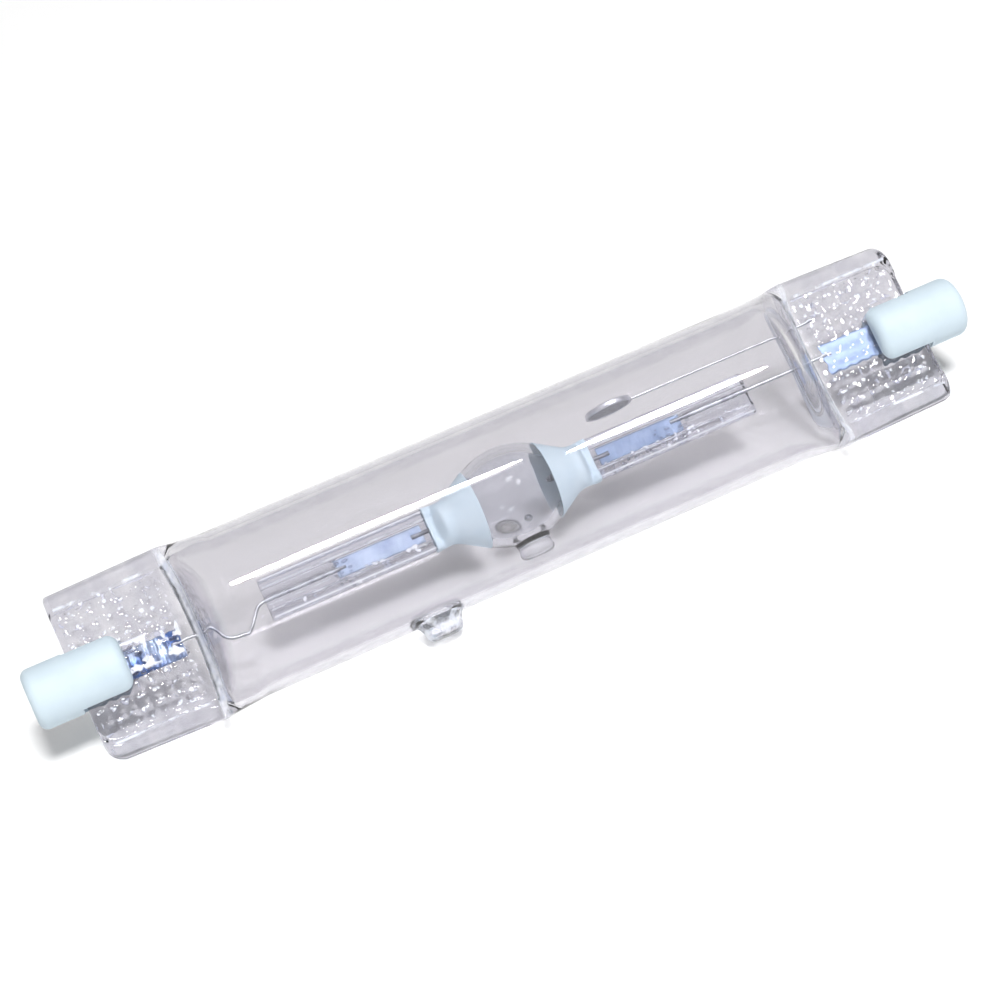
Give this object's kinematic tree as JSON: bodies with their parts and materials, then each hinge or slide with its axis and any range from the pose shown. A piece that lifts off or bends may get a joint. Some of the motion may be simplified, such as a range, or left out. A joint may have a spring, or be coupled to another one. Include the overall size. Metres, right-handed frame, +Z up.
{
  "type": "double-ended metal halide lamp",
  "caption": "Clear tubular discharge lamp with a silica arc tube inside a pressed silica jacket and white ceramic contact caps at both ends.",
  "frame": {"origin": "middle of the arc, on the axis of the jacket, half-way between the end contacts", "axes": "+X along the lamp towards the end that holds the getter wire; +Z up with the lamp lying on its side, resting on the jacket and on its exhaust tip; -Y is the side that the exhaust tip leans to"},
  "size_m": [0.137, 0.023, 0.023],
  "materials": {
    "jacket_silica": "fire-polished clear silica, pressed and dimpled at the ends",
    "arc_silica": "fire-polished clear silica",
    "reflector_white": "matte white heat-reflecting oxide coat",
    "tungsten": "drawn tungsten",
    "molybdenum_foil": "thin foil with a blue oxide tint",
    "molybdenum_wire": "bright drawn wire",
    "getter_steel": "pressed nickel-plated steel",
    "getter_powder": "dull sintered metal powder",
    "halide_salt": "condensed salt film",
    "mercury": "liquid metal",
    "cap_ceramic": "matte white steatite",
    "cap_cement": "rough white refractory cement",
    "contact_nickel": "nickel button"
  },
  "bodies": {
    "root": {"outer_jacket": "jacket_silica", "arc_tube": "arc_silica", "reflector_coat_left": "reflector_white", "reflector_coat_right": "reflector_white", "electrode_rod_left": "tungsten", "electrode_rod_right": "tungsten", "electrode_coil_left": "tungsten", "electrode_coil_right": "tungsten", "arc_foil_left": "molybdenum_foil", "arc_foil_right": "molybdenum_foil", "arc_lead_left": "molybdenum_wire", "arc_lead_right": "molybdenum_wire", "jacket_foil_left": "molybdenum_foil", "jacket_foil_right": "molybdenum_foil", "outer_lead_left": "molybdenum_wire", "outer_lead_right": "molybdenum_wire", "getter_dish": "getter_steel", "getter_pellet": "getter_powder", "getter_wire": "getter_steel", "halide_film": "halide_salt", "mercury_bead": "mercury", "end_cap_left": "cap_ceramic", "end_cap_right": "cap_ceramic", "cap_cement_left": "cap_cement", "cap_cement_right": "cap_cement", "cap_contact_left": "contact_nickel", "cap_contact_right": "contact_nickel"}
  },
  "joints": []
}
